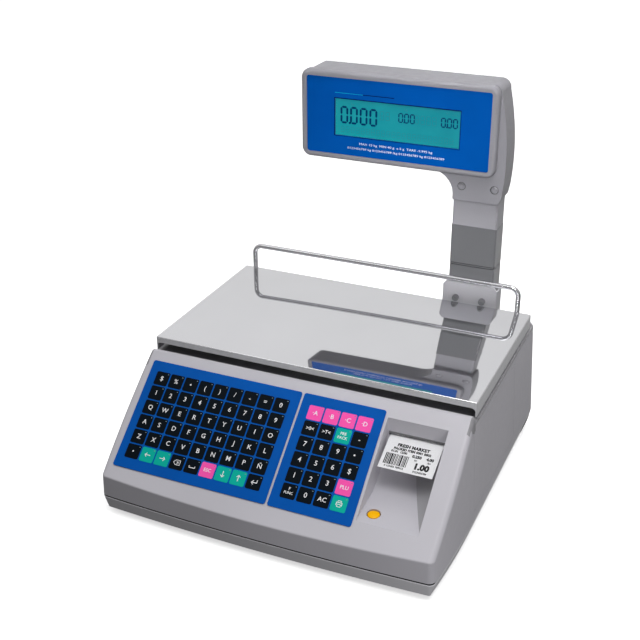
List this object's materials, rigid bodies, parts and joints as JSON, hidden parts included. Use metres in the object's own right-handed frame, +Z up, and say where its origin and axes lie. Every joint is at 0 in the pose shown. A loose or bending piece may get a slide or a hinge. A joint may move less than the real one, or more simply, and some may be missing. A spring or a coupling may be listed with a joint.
{
  "type": "label printing scale",
  "caption": "Counter-top weighing scale with sloped keypad, lift-off platter and wire guard, side-loading label printer and a customer display on a rear mast.",
  "frame": {"origin": "middle of the footprint, on the counter", "axes": "+X to the operator's right, +Y to the back where the mast stands, +Z up"},
  "size_m": [0.392, 0.395, 0.424],
  "materials": {
    "casing": "fine satin moulded plastic",
    "base_plastic": "fine satin moulded plastic",
    "head_plastic": "fine satin moulded plastic",
    "printed_film": "back-printed polyester film",
    "stainless": "satin polished stainless sheet",
    "chrome_wire": "bright chromed wire",
    "zinc_sheet": "zinc plated sheet",
    "aluminium": "machined and cast",
    "mast_paint": "satin powder coat",
    "rubber": "matt black",
    "board": "glass-fibre board",
    "black_plastic": "moulded",
    "paper": "thermal label stock",
    "lcd": "lit liquid crystal behind glass",
    "lens": "translucent amber moulding"
  },
  "bodies": {
    "base": {"base_tray": "base_plastic", "upper_casing": "casing", "rear_bumper_left": "rubber", "rear_bumper_right": "rubber", "keypad_left": "printed_film", "keypad_right": "printed_film", "keyboard_board": "board", "label_sensor_lens": "lens", "printed_label": "paper", "printer_frame": "zinc_sheet", "print_motor": "zinc_sheet", "peel_bar": "stainless", "roll_spindle": "black_plastic", "load_cell": "aluminium", "cell_mount_block": "aluminium", "cell_top_block": "aluminium", "platform_spider": "aluminium", "platter_stud_left_front": "rubber", "platter_stud_left_rear": "rubber", "platter_stud_right_front": "rubber", "platter_stud_right_rear": "rubber", "main_board": "board", "power_supply": "zinc_sheet", "power_inlet": "black_plastic", "data_ports": "black_plastic", "bubble_level": "lcd", "mast_bracket": "mast_paint", "mast_post": "mast_paint", "bracket_bolt_left": "black_plastic", "bracket_bolt_right": "black_plastic", "mast_rear_cover": "base_plastic", "head_rear_housing": "head_plastic", "head_front_bezel": "head_plastic", "display_panel_front": "printed_film", "lcd_front": "lcd", "display_board": "board", "display_panel_rear": "printed_film", "lcd_rear": "lcd", "arm_screw_cap_left": "head_plastic", "arm_screw_cap_right": "head_plastic"},
    "platter": {"platter": "stainless", "platter_guard": "chrome_wire"},
    "printer_door": {"printer_door": "casing"},
    "label_roll": {"label_roll": "paper"},
    "platen": {"platen_roller": "rubber", "platen_gear": "black_plastic"},
    "motor_gear": {"motor_gear": "black_plastic"},
    "takeup_spool": {"takeup_spool": "black_plastic"},
    "print_head": {"print_head": "aluminium"},
    "power_switch": {"power_switch": "black_plastic"},
    "foot_left_front": {"levelling_foot_left_front": "rubber"},
    "foot_left_rear": {"levelling_foot_left_rear": "rubber"},
    "foot_right_front": {"levelling_foot_right_front": "rubber"},
    "foot_right_rear": {"levelling_foot_right_rear": "rubber"}
  },
  "joints": [
    {"name": "platter_lift", "type": "slide", "parent": "base", "child": "platter", "axis": [0, 0, 1], "range_m": [0, 0.1]},
    {"name": "printer_door_hinge", "type": "hinge", "parent": "base", "child": "printer_door", "pos_m": [0.1958, 0, 0.034], "axis": [0, 1, 0], "range_deg": [0, 90]},
    {"name": "label_roll_spin", "type": "hinge", "parent": "base", "child": "label_roll", "pos_m": [0.13, 0.01, 0.079], "axis": [1, 0, 0], "continuous": true},
    {"name": "platen_spin", "type": "hinge", "parent": "base", "child": "platen", "pos_m": [0.13, -0.075, 0.1086], "axis": [1, 0, 0], "continuous": true},
    {"name": "motor_gear_spin", "type": "hinge", "parent": "base", "child": "motor_gear", "pos_m": [0.097, -0.052, 0.096], "axis": [1, 0, 0], "continuous": true},
    {"name": "takeup_spin", "type": "hinge", "parent": "base", "child": "takeup_spool", "pos_m": [0.13, -0.05, 0.066], "axis": [1, 0, 0], "continuous": true},
    {"name": "print_head_lift", "type": "hinge", "parent": "base", "child": "print_head", "pos_m": [0.13, -0.06, 0.122], "axis": [-1, 0, 0], "range_deg": [0, 20]},
    {"name": "power_switch_rock", "type": "hinge", "parent": "base", "child": "power_switch", "pos_m": [-0.14, 0.19, 0.058], "axis": [1, 0, 0], "range_deg": [0, 14]},
    {"name": "foot_left_front_turn", "type": "hinge", "parent": "base", "child": "foot_left_front", "pos_m": [-0.158, -0.158, 0], "axis": [0, 0, 1], "continuous": true},
    {"name": "foot_left_rear_turn", "type": "hinge", "parent": "base", "child": "foot_left_rear", "pos_m": [-0.158, 0.158, 0], "axis": [0, 0, 1], "continuous": true},
    {"name": "foot_right_front_turn", "type": "hinge", "parent": "base", "child": "foot_right_front", "pos_m": [0.158, -0.158, 0], "axis": [0, 0, 1], "continuous": true},
    {"name": "foot_right_rear_turn", "type": "hinge", "parent": "base", "child": "foot_right_rear", "pos_m": [0.158, 0.158, 0], "axis": [0, 0, 1], "continuous": true}
  ],
  "couplings": [
    {"joint": "platen_spin", "follows": "label_roll_spin", "ratio": 6.6667},
    {"joint": "motor_gear_spin", "follows": "label_roll_spin", "ratio": -4.4444},
    {"joint": "takeup_spin", "follows": "label_roll_spin", "ratio": -5}
  ]
}
